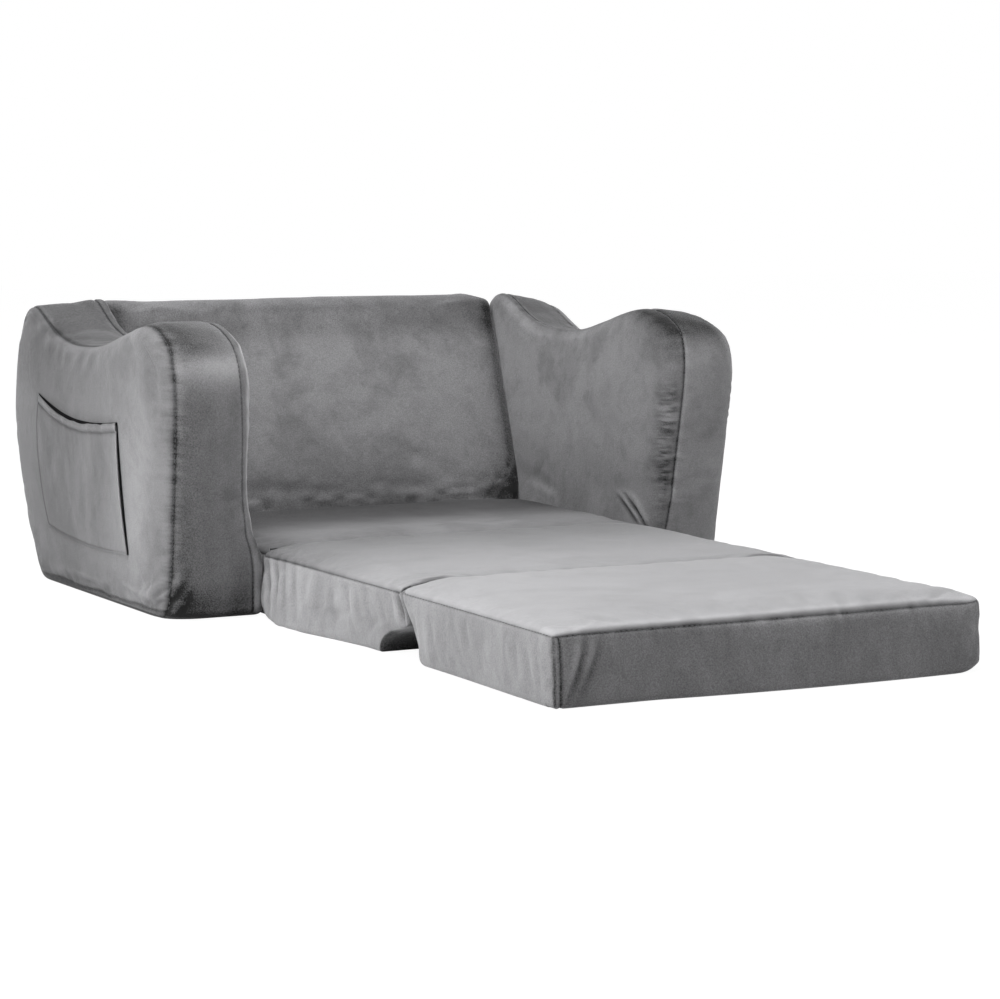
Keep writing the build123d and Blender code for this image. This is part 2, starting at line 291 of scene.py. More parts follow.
# cloth simulation of the loose cover; no point moves further than limit
def settle(block, hold, pressure, limit):
    cover = bpy.data.objects.new("cover", newMesh("cover", block["points"], block["faces"]))
    scene.collection.objects.link(cover)
    group = cover.vertex_groups.new(name="hold")
    group.add(np.flatnonzero(hold).tolist(), 1.0, "REPLACE")
    cloth = cover.modifiers.new("cloth", "CLOTH")
    cloth.collision_settings.use_collision = False
    cloth.settings.quality = simulation["quality"]
    cloth.settings.mass = simulation["mass"]
    cloth.settings.tension_stiffness = cloth.settings.compression_stiffness = simulation["stiffness"]
    cloth.settings.bending_stiffness = simulation["bending"]
    cloth.settings.use_pressure = True
    cloth.settings.uniform_pressure_force = pressure
    cloth.settings.shrink_min = simulation["shrink"]
    cloth.settings.vertex_group_mass = "hold"
    cloth.settings.effector_weights.gravity = 0
    cloth.point_cache.frame_end = 20
    for number in range(1, simulation["steps"] + 1):
        scene.frame_set(number)
    seen = cover.evaluated_get(bpy.context.evaluated_depsgraph_get())
    moved = np.zeros(len(seen.data.vertices) * 3)
    seen.data.vertices.foreach_get("co", moved)
    shift = moved.reshape(-1, 3) / mm - block["points"]
    size = np.linalg.norm(shift, axis=1)
    block["points"] = block["points"] + shift * np.minimum(1, limit / np.maximum(size, 1e-6))[:, None]
    bpy.data.objects.remove(cover)
    scene.frame_set(1)
    return block


def addPiece(name, points, faces, material, body, nodes=(), slot="velvet", **values):
    used, faces = np.unique(faces, return_inverse=True)
    piece = bpy.data.objects.new(name, newMesh(name, points[used], faces.reshape(-1, 4)))
    scene.collection.objects.link(piece)
    for label, value in values.items():
        piece.data.attributes.new(label, "FLOAT", "POINT").data.foreach_set("value", value[used].astype(np.float32))
    piece.data.materials.append(material)
    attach(piece, body)
    if nodes:
        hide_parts(*nodes)
    return piece


def addPanels(nodes, finishes, padded, points, faces, part, body, **values):  # a piece for each sewn panel
    pieces = []
    for k, (node, finish) in enumerate(zip(nodes, finishes)):
        slot = "non_slip_cloth" if finish is soleCloth else "velvet"
        pieces.append(addPiece(node + "_cloth", points, faces[part == k], finish, body, (node,), slot, **values))
    return pieces


coreInset = 3.2  # the foam lies this far inside its cover


def addFoam(owner, points, faces, body):
    foam = addPiece(owner + "_foam_core", points, faces, foamCell, body, (owner + "_foam",), "foam")


def twoSided(face, back, m, n):  # points and faces of a thin sheet with a closed rim
    order, faces = loopOrder(m, n), netFaces(m, n)
    rim = np.c_[order, np.roll(order, -1), np.roll(order, -1) + m * n, order + m * n]
    return np.vstack([face, back]), np.vstack([faces, faces[:, ::-1] + m * n, rim])


def seamPoints(block, ring):  # the points of one seam, in order along the outline
    on = np.flatnonzero(np.abs(block["ring"] - ring) < 0.02)
    on = on[np.argsort(block["along"][on])]
    gap = np.linalg.norm(np.diff(block["points"][on], axis=0), axis=1)
    far = np.r_[0, gap] + np.r_[gap, 0]
    return on[far < 25]


def stitches(name, line, normals, body, pitch=6.5, share=0.55, thick=0.45, sink=0.1):  # short bars of thread
    s = np.r_[0, np.cumsum(np.linalg.norm(np.diff(line, axis=0), axis=1))]
    start = np.arange(pitch, s[-1] - pitch, pitch)
    at = lambda q, values: np.stack([np.interp(q, s, values[:, k]) for k in range(3)], axis=1)
    a, b, up = at(start, line), at(start + pitch * share, line), at(start + pitch * share / 2, normals)
    keep = np.linalg.norm(b - a, axis=1) < pitch
    a, b, up = a[keep], b[keep], up[keep]
    side = np.cross(b - a, up)
    side /= np.maximum(np.linalg.norm(side, axis=1), 1e-6)[:, None]
    a, b = a - up * sink, b - up * sink
    square = ((-1, -1), (1, -1), (1, 1), (-1, 1))
    corners = [end + side * thick * i + up * thick * j for end in (a, b) for i, j in square]
    points = np.stack(corners, axis=1).reshape(-1, 3)
    bar = np.array([(0, 1, 2, 3), (7, 6, 5, 4), (0, 4, 5, 1), (1, 5, 6, 2), (2, 6, 7, 3), (3, 7, 4, 0)])
    faces = (bar[None] + 8 * np.arange(len(a))[:, None, None]).reshape(-1, 4)
    addPiece(name, points, faces, threadCloth, body)


# ---- cloth finishes ----
def newGroup(name, inputs, outputs):
    group = bpy.data.node_groups.new(name, "ShaderNodeTree")
    for kind, side in ((inputs, "INPUT"), (outputs, "OUTPUT")):
        for label, value in kind.items():
            sort = "NodeSocketColor" if isinstance(value, tuple) else "NodeSocketFloat"
            socket = group.interface.new_socket(label, in_out=side, socket_type=sort)
            socket.default_value = value
    return group, group.nodes.new("NodeGroupInput"), group.nodes.new("NodeGroupOutput")


def addNode(tree, kind, sockets, **settings):  # a node with its settings, values and links in one line
    made = tree.nodes.new("ShaderNode" + kind)
    for name, value in settings.items():
        setattr(made, name, value)
    for name, value in sockets.items():
        if isinstance(value, bpy.types.NodeSocket):
            tree.links.new(value, made.inputs[name])
        else:
            made.inputs[name].default_value = value
    return made


def noise(tree, place, scale, **more):
    return addNode(tree, "TexNoise", {"Vector": place, "Scale": scale, **more}).outputs["Fac"]


def remap(tree, value, start, end, low=0, high=1, **settings):
    sockets = {"Value": value, "From Min": start, "From Max": end, "To Min": low, "To Max": high}
    return addNode(tree, "MapRange", sockets, **settings).outputs[0]


def sums(tree, operation, *values, **settings):
    return addNode(tree, "Math", dict(enumerate(values)), operation=operation, **settings).outputs[0]


def mixed(tree, share, first, second):  # blend of two colours
    return addNode(tree, "Mix", {"Factor": share, "A": first, "B": second}, data_type="RGBA").outputs["Result"]


def velvetPile():  # brushed marks, fine nap and soft lumps of a short pile cloth
    group, start, end = newGroup(
        "velvetPile",
        {"Colour": (0.3, 0.3, 0.31, 1), "Brushed Colour": (0.2, 0.2, 0.21, 1), "Mark Size": 9.0, "Streak": 1.0,
         "Grain": 0.3, "Shade": 0.0, "Pucker": 0.0},
        {"Colour": (0, 0, 0, 1), "Roughness": 0.0, "Height": 0.0},
    )
    given = start.outputs
    place = addNode(group, "TexCoord", {}).outputs["Object"]
    squeeze = addNode(group, "CombineXYZ", {"X": 1, "Y": 1, "Z": given["Streak"]})
    stretched = addNode(group, "Mapping", {"Vector": place, "Scale": squeeze.outputs[0]}).outputs[0]
    large = noise(group, stretched, given["Mark Size"], Detail=5, Roughness=0.62, Distortion=0.4)
    smallSize = sums(group, "MULTIPLY", given["Mark Size"], 4.6)
    small = noise(group, stretched, smallSize, Detail=4, Roughness=0.7, Distortion=0.5)
    grain = noise(group, place, 620, Detail=2, Roughness=0.7)
    pile = noise(group, place, 1500, Detail=1)
    patches = remap(group, large, 0.43, 0.59, interpolation_type="SMOOTHSTEP")
    flecks = remap(group, small, 0.44, 0.66, interpolation_type="SMOOTHSTEP")
    marks = sums(group, "MULTIPLY_ADD", patches, 0.6, sums(group, "MULTIPLY", flecks, 0.36), use_clamp=True)
    tint = mixed(group, marks, given["Colour"], given["Brushed Colour"])
    lit = sums(group, "MULTIPLY_ADD", remap(group, grain, 0.3, 0.7, -1, 1), given["Grain"], 1.0)
    # the Pucker input darkens the colour in a noise pattern as painted shade of puckers, and the Shade input adds
    # painted shade and painted highlights
    flattened = addNode(group, "Mapping", {"Vector": place, "Scale": (0.16, 0.16, 1)}).outputs[0]
    puckerShadeNoise = noise(group, flattened, 150, Detail=2, Roughness=0.6)
    puckerShading = sums(group, "MULTIPLY", remap(group, puckerShadeNoise, 0.36, 0.6, -1, 0.35), given["Pucker"])
    shaded = sums(group, "ADD", puckerShading, given["Shade"])
    kept = sums(group, "MAXIMUM", sums(group, "ADD", lit, shaded), 0.03)
    tone = addNode(group, "VectorMath", {0: tint, "Scale": kept}, operation="SCALE").outputs[0]
    rough = remap(group, large, 0, 1, 0.7, 0.95)
    heights = sums(group, "MULTIPLY_ADD", pile, 0.4, sums(group, "MULTIPLY_ADD", small, 1.5, grain))
    for label, socket in (("Colour", tone), ("Roughness", rough), ("Height", heights)):
        group.links.new(socket, end.inputs[label])
    return group


velvetGroup = velvetPile()
# one velvet in lighter and darker copies per part: painted light and shade for how the lamps fall on tops, sides and
# fronts
velvetLook = {
    "outerSide": {"colour": 0.235, "brushed": 0.175, "size": 8, "streak": 0.9, "grain": 0.12},
    "armStrip": {"colour": 0.235, "brushed": 0.16, "size": 7, "streak": 0.9, "grain": 0.24},
    "innerSide": {"colour": 0.26, "brushed": 0.165, "size": 8, "streak": 1.1, "grain": 0.18},
    "seatTop": {"colour": 0.42, "brushed": 0.35, "size": 5, "streak": 1.0, "grain": 0.06},
    "baseTop": {"colour": 0.27, "brushed": 0.2, "size": 6, "streak": 1.0, "grain": 0.1, "sheen": 0.12},
    "seatSide": {"colour": 0.33, "brushed": 0.26, "size": 11, "streak": 0.5, "grain": 0.18},
    "backFace": {"colour": 0.31, "brushed": 0.205, "size": 7, "streak": 1.1, "grain": 0.22},
}


def principled(name, **values):
    material = bpy.data.materials.new(name)
    material.use_nodes = True
    shader = material.node_tree.nodes["Principled BSDF"]
    for label, value in values.items():
        shader.inputs[label.replace("_", " ")].default_value = value
    return material, material.node_tree, shader


def velvet(name, look):
    material, tree, shader = principled(
        name, Sheen_Weight=look.get("sheen", 0.5), Sheen_Roughness=0.35, Sheen_Tint=(0.92, 0.92, 0.94, 1),
        Specular_IOR_Level=0.25)
    pile = tree.nodes.new("ShaderNodeGroup")
    pile.node_tree = velvetGroup
    for label, tone in (("Colour", look["colour"]), ("Brushed Colour", look["brushed"])):
        pile.inputs[label].default_value = (tone, tone * 0.995, tone * 1.02, 1)
    for label, key in (("Mark Size", "size"), ("Streak", "streak"), ("Grain", "grain")):
        pile.inputs[label].default_value = look[key]
    # per-point painted shade and highlights, and painted pucker shade, read from the mesh
    for label in ("Shade", "Pucker"):
        value = addNode(tree, "Attribute", {}, attribute_name=label.lower())
        tree.links.new(value.outputs["Fac"], pile.inputs[label])
    bump = addNode(tree, "Bump", {"Height": pile.outputs["Height"], "Strength": 0.5, "Distance": 0.0011})
    tree.links.new(pile.outputs["Colour"], shader.inputs["Base Color"])
    tree.links.new(pile.outputs["Roughness"], shader.inputs["Roughness"])
    tree.links.new(bump.outputs[0], shader.inputs["Normal"])
    return material


velvets = {name: velvet("velvet_" + name, look) for name, look in velvetLook.items()}


def dottedCloth():  # woven sole cloth with small grip dots
    material, tree, shader = principled("soleCloth", Roughness=0.85, Sheen_Weight=0.15)
    place = addNode(tree, "TexCoord", {}).outputs["Object"]
    dots = addNode(tree, "TexVoronoi", {"Vector": place, "Scale": 160, "Randomness": 0})
    edge = remap(tree, dots.outputs["Distance"], 0.22, 0.3, 1, 0)
    relief = sums(tree, "ADD", edge, noise(tree, place, 700))
    bump = addNode(tree, "Bump", {"Height": relief, "Strength": 0.5, "Distance": 0.0006})
    tree.links.new(mixed(tree, edge, (0.03, 0.03, 0.032, 1), (0.075, 0.075, 0.08, 1)), shader.inputs["Base Color"])
    tree.links.new(bump.outputs[0], shader.inputs["Normal"])
    return material


def plainFinish(name, light, dark, scale, rough, height, **values):  # two toned, with a fine relief
    material, tree, shader = principled(name, **values)
    place = addNode(tree, "TexCoord", {}).outputs["Object"]
    grain = noise(tree, place, scale, Detail=4)
    bump = addNode(tree, "Bump", {"Height": grain, "Strength": 0.4, "Distance": height}).outputs[0]
    tint = mixed(tree, grain, (*dark, 1), (*light, 1))
    for socket, label in ((tint, "Base Color"), (remap(tree, grain, 0, 1, *rough), "Roughness"), (bump, "Normal")):
        tree.links.new(socket, shader.inputs[label])
    return material


soleCloth = dottedCloth()
foamCell = plainFinish("foamCell", (0.86, 0.84, 0.74), (0.72, 0.7, 0.6), 320, (0.85, 0.98), 0.0012)
# near-black finish for the strips of painted shadow inside the pocket
pocketShadowPaint = plainFinish(
    "pocketShadowPaint", (0.012, 0.012, 0.013), (0.006, 0.006, 0.007), 500, (0.85, 0.95), 0.0003, Specular_IOR_Level=0.1)
tapeWeave = plainFinish("tapeWeave", (0.07, 0.07, 0.075), (0.03, 0.03, 0.033), 1400, (0.55, 0.8), 0.0003)
pullMetal = plainFinish("pullMetal", (0.12, 0.12, 0.125), (0.07, 0.07, 0.075), 500, (0.3, 0.45), 0.0001, Metallic=0.9)
threadCloth = plainFinish("threadCloth", (0.1, 0.1, 0.105), (0.06, 0.06, 0.065), 1200, (0.6, 0.8), 0.0002)
print("finishes made")


# ---- arms ----
arm = {
    "depth": 560, "height": 372,
    "shares": ((0.012, 0), (-0.002, 0.2), (-0.024, 0.444), (-0.042, 0.65), (-0.046, 0.82),
               (-0.02, 0.913), (0.036, 0.957), (0.11, 0.981), (0.2, 0.966), (0.312, 0.925),
               (0.43, 0.888), (0.55, 0.878), (0.652, 0.89), (0.73, 0.924), (0.79, 0.966),
               (0.845, 0.998), (0.888, 0.982), (0.92, 0.93), (0.957, 0.83), (0.985, 0.71),
               (0.996, 0.58), (0.985, 0.44), (0.952, 0.27), (0.9, 0.125), (0.84, 0)),
    "toeRound": 16, "seamAt": 0.055, "sweepRun": 150,
}
# place on the outline, then how far the edge rounding reaches across and inward
tightEdge = ((0, 30, 14, 12), (-26, 290, 16, 16), (20, 356, 20, 18), (112, 359, 20, 15), (308, 327, 18, 13),
             (473, 369, 12, 9), (557, 216, 9, 8), (490, 20, 7, 6), (440, 0, 5, 3), (60, 0, 5, 3))
innerEdge = ((0, 30, 8, 6), *tightEdge[1:])
looseEdge = ((0, 30, 14, 12), (-26, 290, 22, 18), (20, 356, 44, 26), (112, 359, 46, 24), (308, 327, 46, 20),
             (473, 369, 52, 26), (557, 216, 16, 12), (490, 20, 7, 6), (440, 0, 5, 3), (60, 0, 5, 3))
armSides = {
    "left": {
        "side": -1, "half": 403, "width": 112, "splay": 8.5, "crown": (7, -5), "edges": (tightEdge, innerEdge),
        "tilt": (-1, 6, 200), "sweep": ((46, 52, 0.2, 1), (30, 20, 0.8, -0.2)),
        "face": ((0, -14), (60, -14), (80, -11), (105, -1), (150, 5), (240, 7), (344, 11)),
        "folds": (((-388, 8, 60), (-400, 44, 12), 5, 2.6), ((-380, 0, 38), (-394, 26, 8), 4, 2.4),
                  ((-400, 30, 50), (-404, 92, 20), 6, 1.8), ((-402, 60, 24), (-404, 150, 16), 6, 1.4),
                  ((-402, 190, 30), (-404, 270, 14), 6, 1.2), ((-403, 330, 26), (-404, 420, 18), 7, 1.2),
                  ((-404, 470, 40), (-404, 520, 84), 7, 1.4),
                  ((-400, 300, 330), (-402, 420, 344), 9, -1.6),
                  ((-402, 150, 30), (-404, 62, 17), 3, -2.4), ((-402, 92, 26), (-402, 66, 42), 2.6, -2.0),
                  ((-400, 52, 20), (-398, 8, 32), 3, -3.0), ((-396, 20, 16), (-380, 0, 24), 3, -3.2),
                  ((-404, 330, 22), (-404, 236, 20), 3, -1.8), ((-290, 60, 88), (-282, 4, 60), 8, 1.4),
                  ((-292, 110, 100), (-284, 20, 96), 9, 1.2)),
    },
    "right": {
        "side": 1, "half": 401.5, "width": 110.5, "splay": 15, "crown": (7, 4), "rearOut": (4, 8),
        "edges": (looseEdge, innerEdge),
        "tilt": (-8, 5, -300), "sweep": ((46, 52, 0.2, 1), (30, 20, 0.8, -0.2)),
        "face": ((0, -8), (60, -8), (86, -3), (120, 0), (344, -4)),
        "drop": 7,
        "folds": (((288, 98, 114), (285, 46, 86), 3.4, -3.8), ((288, 80, 118), (285, 36, 90), 3.0, -3.4),
                  ((288, 60, 112), (286, 20, 76), 3.6, -4.0), ((288, 70, 96), (286, 40, 80), 3.0, -2.6),
                  ((290, 350, 108), (289, 270, 92), 8, 1.4)),
    },
}


def faceOf(side, z):  # how far an arm's inner face stands away from its straight plane
    return np.interp(z, *np.array(armSides[side]["face"], float).T)


def rearOut(side, y, z):  # how far the inner face opens toward the rear
    low, high = armSides[side].get("rearOut", (0, 0))
    return (low + high * np.clip(z / 350, 0, 1)) * ease((y - 110) / 220)


def outerShade(y, z):  # tone of the left arm's outer side by depth and height
    # painted light and shade: darker right at the front edge, a lighter band behind it, darker toward the rear, the top
    # and the foot
    frontGap = y - np.interp(z, frontAt[:, 1], frontAt[:, 0])
    frontSteps = (0, 22, 42, 60, 80, 100, 120, 158, 197)
    band = np.interp(frontGap, frontSteps, (-0.34, -0.24, 0.05, 0.22, 0.33, 0.43, 0.36, 0.08, 0))
    rear = np.interp(frontGap, (158, 197, 236, 275, 314, 353, 420), (0, -0.05, -0.17, -0.19, -0.26, -0.33, -0.4))
    band = band * (1 - 0.7 * ease((z - 220) / 90) - 0.45 * ease((95 - z) / 60))
    return band + rear - 0.16 * ease((z - 240) / 80) - 0.12 * ease((70 - z) / 60)


def sideLoop(line, corners, m, n, crowd):  # closed line cut at four corners into m, n, m, n points
    closed = np.vstack([line, line[:1]])
    s = pathLength(closed)
    cuts = sorted(float(s[np.argmin(np.hypot(*(line - c).T))]) for c in corners)
    first = float(s[np.argmin(np.hypot(*(line - corners[0]).T))])
    at = cuts.index(first)
    cuts = cuts[at:] + [c + s[-1] for c in cuts[:at]] + [first + s[-1]]
    parts = []
    for k, count in enumerate((m, n, m, n)):
        t = np.linspace(0, 1, count)
        t = t - crowd * np.sin(2 * math.pi * t) / (2 * math.pi)
        q = (cuts[k] + (cuts[k + 1] - cuts[k]) * t) % s[-1]
        parts.append(np.c_[np.interp(q, s, closed[:, 0]), np.interp(q, s, closed[:, 1])][:-1])
    return np.vstack(parts)


def edgeRings(turns, mids):  # rings from one edge over the strip to the other
    turns = [math.radians(t) for t in turns]
    return [("low", t) for t in turns] + [("mid", k) for k in mids] + [("high", t) for t in turns[::-1]]


def edgeSizes(loop, anchors):  # edge rounding at each outline point, from the nearest named places
    along = pathLength(np.vstack([loop, loop[:1]]))
    at = np.array([along[np.argmin(np.hypot(*(loop - np.array(a[:2])).T))] for a in anchors])
    order = np.argsort(at)
    at, values = at[order], np.array([a[2:] for a in anchors], float)[order]
    at = np.r_[at[-1] - along[-1], at, at[0] + along[-1]]
    values = np.vstack([values[-1:], values, values[:1]])
    return np.c_[np.interp(along[:-1], at, values[:, 0]), np.interp(along[:-1], at, values[:, 1])]


armLine = smoothLine([(arm["depth"] * a, arm["height"] * b) for a, b in arm["shares"]], 900)
bottomLine = np.linspace(armLine[-1], armLine[0], 200)[1:-1]
armLoop = roundedLoop(np.vstack([armLine, bottomLine]), (armLine[0], armLine[-1]), (arm["toeRound"], arm["toeRound"]))
frontAt = armLine[:int(np.argmax(armLine[:, 1] > 352))]
armCorners = [np.array(c) for c in ((8, 8), (464, 8), (500, 360), (-8, 340))]


def buildArm(name):
    own = armSides[name]
    width, side = own["width"], own["side"]
    m, n = 58, 44
    loop = sideLoop(armLoop, armCorners, m, n, 0.0)
    turns, seamAt = (0, 20, 42, 55, 64, 73, 90), arm["seamAt"]
    mids = [0.08, 0.17, 0.28, 0.39, 0.5, 0.61, 0.72, 0.83, 0.9, 1 - seamAt - 0.022, 1 - seamAt, 1 - seamAt + 0.022]
    low, high = (edgeSizes(loop, anchors) for anchors in own["edges"])
    block = sewnBlock(loop, m, n, width, edgeRings(turns, mids), low, high)
    p, ring, steps = block["points"], block["ring"], block["steps"]
    y, z, across = p[:, 0], np.clip(p[:, 1], 0, None), p[:, 2]
    frontY = np.interp(z, frontAt[:, 1], frontAt[:, 0])
    behind = np.clip(1 - (y - frontY) / arm["sweepRun"], 0, 1) ** 2
    nearTilt, farTilt, tiltFrom = own["tilt"]
    z = z + (nearTilt + (farTilt - nearTilt) * across / width) * (z / 350) ** 2 * ease((y - tiltFrom) / 150)
    z = z - own.get("drop", 0) * (1 - 0.7 * across / width) * ease((y - 290) / 130) * (z / 350) ** 2
    for (reach, back, topGain, foot), edgeGap in zip(own["sweep"], (across, width - across)):
        t = np.clip(1 - edgeGap / reach, 0, 1)
        swept = back * (1 - np.sqrt(1 - t * t)) * behind * (1 + topGain * ease((z - 280) / 70))
        y = y + swept * np.clip(foot + z / 140, 0, 1)
    inside = (across / width) ** 2
    gaps = (-ring, ring - steps[-1])
    outer, inner = (crown * (1 - np.exp(-np.clip(gap, 0, None) / 60)) for crown, gap in zip(own["crown"], gaps))
    leaning = own["splay"] * (z / arm["height"]) ** 1.3 * (1 - 0.7 * inside)
    x = own["half"] - across + outer - inner + leaning + faceOf(name, z) * inside
    x = x + rearOut(name, y, z) * inside
    block["points"] = np.c_[side * x, y + depthShift, z]
    seams = (steps[4], steps[-9])
    held = (z < 12) | (np.minimum(abs(ring - seams[0]), abs(ring - seams[1])) < 9)
    block = finer(settle(turnedOut(block), held, 2.5, 2.2))
    p, ring, along = block["points"], block["ring"], block["along"]
    normals = normalsOf(p, block["faces"])
    at = p + [0, -depthShift, 0]
    lift = np.clip(p[:, 2] / 22, 0, 1)
    folded = creases(at, normals, own["folds"])
    lumps = 1.0 * softNoise(p, 85, 3) + 0.35 * softNoise(p, 34, 4) + folded
    shade = 0.2 * np.minimum(folded, 0.9)
    for k, seam in enumerate(seams):
        gap = np.abs(ring - seam)
        here = np.c_[along, along * 0 + 50 * k]
        wave = softNoise(np.c_[along + 0.3 * gap, gap * 0.12], 5.5, 6 + k)
        strength = np.clip(softNoise(here, 60, 9) + 0.45, 0.1, 1)
        pucker = wave * strength * np.exp(-gap / 7) * (0.6 if side < 0 else 1)
        lumps += 1.25 * pucker - 1.4 * bell(gap, 1.9)
        # painted shade and highlights of the puckers, a darker line along the seam and a lighter line beside it
        deep = 0.3 + 0.3 * (k == 1 and side > 0)
        shade += deep * (pucker - 0.3 * np.abs(pucker)) - 0.6 * bell(gap, 1.3) + 0.1 * bell(gap - 4, 2.5)
    p = p + normals * (lumps * lift)[:, None]
    p[:, 2] = np.clip(p[:, 2], 0, None)
    block["points"], faces = p, block["faces"]
    outerPart, innerPart = ring <= seams[0], ring >= seams[1]
    strip = ~outerPart & ~innerPart & (at[:, 1] < 60)
    height = p[:, 2]
    # painted shade at the foot and on the upward faces of the boxing and inner panel
    shade -= 0.55 * np.clip(1 - height / 12, 0, 1) + (ring > seams[0]) * 0.7 * np.clip(normals[:, 2], 0, 1) ** 1.3
    upright = (at[:, 1] < 80) * ease((height - 24) / 20)
    # painted shade of puckers beside the seams, drawn by the Pucker input
    puckerShadeMask = 0.28 * np.exp(-np.abs(ring - seams[0]) / 6) * upright
    if side > 0:
        fading = ease((290 - height) / 40) * (0.4 + 0.6 * ease((height - 110) / 40))
        puckerShadeMask = puckerShadeMask + 0.55 * bell(ring - seams[1] - 10, 7) * upright * fading
    # painted highlight band across the upper boxing
    stripHighlight = bell(height - 317, np.where(height > 317, 12, 21))
    if side < 0:
        # painted shade of a wavy crease near the foot of the outer side
        lowCreaseShade = bell(height - 9 - 1.6 * softNoise(np.c_[at[:, 1], height * 0], 24, 12), 2.0)
        shade += outerPart * (outerShade(at[:, 1], height) - 0.7 * lowCreaseShade * ease((480 - at[:, 1]) / 60))
        # painted light and shade across the boxing: darker by the outer seam, lighter toward the inner edge, darker
        # toward the foot
        stripSteps = (0, 9, 19, 29, 40, 50, 60, 71, 81, 91, 101)
        stripTones = (-0.3, -0.28, -0.26, -0.18, -0.1, 0, 0.07, 0.09, 0.2, 0.27, 0.42)
        across = np.interp(ring - seams[0], stripSteps, stripTones)
        gleam = 0.8 * stripHighlight * (0.55 + 0.5 * ease((ring - seams[0] - 5) / 45)) + 0.12 * ease((height - 332) / 16)
        shade += strip * (gleam - 0.34 * (1 - height / 372) + across - 0.3 * ease((55 - height) / 38))
        # painted highlight along the inner panel's rounded edge, with painted shade near its foot
        turned = np.abs(normals[:, 0])
        rim = innerPart * ease((turned - 0.45) / 0.3) * (1 - ease((turned - 0.86) / 0.13))
        rim *= ease((130 - at[:, 1]) / 70)
        shade += 1.5 * rim * ease((height - 90) / 60) - 0.9 * rim * ease((125 - height) / 40)
        # painted shade on the lower inner part of the boxing
        shade -= strip * 0.28 * ease((115 - height) / 60) * ease((ring - seams[0] - 55) / 30)
    else:
        # painted light and shade on the right arm: lighter boxing with a darker top, darker inner panel low down and by
        # the seam, a painted highlight along its top edge toward the rear
        shade += strip * (0.42 - 0.15 * (1 - height / 372) - 0.85 * ease((height - 300) / 60)) + 0.12 * outerPart
        shade -= innerPart * (0.16 * bell(ring - seams[1], 40) + 0.14 * ease((200 - height) / 60))
        upper = ease((height - 290) / 30)
        shade += innerPart * 0.35 * bell(ring - seams[1] - 14, 7) * upper * ease((at[:, 1] - 90) / 70)
        shade -= 0.4 * innerPart * bell(ring - seams[1], 16) * upper * ease((90 - at[:, 1]) / 40)
    ringAt = ring[faces].mean(1)
    part = np.where(ringAt < seams[0], 0, np.where(ringAt > seams[1], 2, 1))
    part[p[faces][:, :, 2].max(1) < 5] = 3
    nodes = [f"{name}_arm_{panel}" for panel in ("outer_panel", "boxing", "inner_panel", "sole")]
    finishes = (velvets["outerSide"], velvets["armStrip"], velvets["innerSide"], soleCloth)
    addPanels(nodes, finishes, 3, p, faces, part, "sofa", shade=shade, pucker=puckerShadeMask)
    normals = normalsOf(p, faces)
    for label, seam in zip(("outer", "inner"), seams):
        on = seamPoints(block, seam)
        on = on[p[on, 2] > 6]
        stitches(f"{name}_arm_{label}_stitches", p[on], normals[on], "sofa")
    addFoam(name + "_arm", p - normals * coreInset, faces, "sofa")
    return block


leftArm = buildArm("left")
buildArm("right")
print("arms made")


# ---- back ----
back = {
    "half": 287.6, "edges": (7, 6), "crown": 6, "raise": 3, "endDrop": 9,
    "foot": (352.8, 0), "top": ((481.6, 353.4), (498.4, 371.3), (518, 359)),
    "rear": ((518, 359), (549.4, 230.6), (529.2, 100.4)), "heel": ((471.5, 8.9), (471.5, 0)), "seam": 500,
    "folds": (((284, 396, 112), (240, 392, 98), 6, 1.8), ((284, 402, 128), (248, 398, 120), 6, 1.4),
              ((282, 400, 140), (266, 396, 98), 3, -2.8), ((270, 398, 124), (250, 394, 96), 3, -2.2),
              ((-150, 394, 106), (-40, 392, 98), 7, 1.5), ((30, 394, 104), (150, 392, 97), 7, 1.4),
              ((-240, 400, 130), (-190, 392, 100), 9, 1.3), ((100, 410, 150), (170, 396, 112), 12, 1.2)),
}


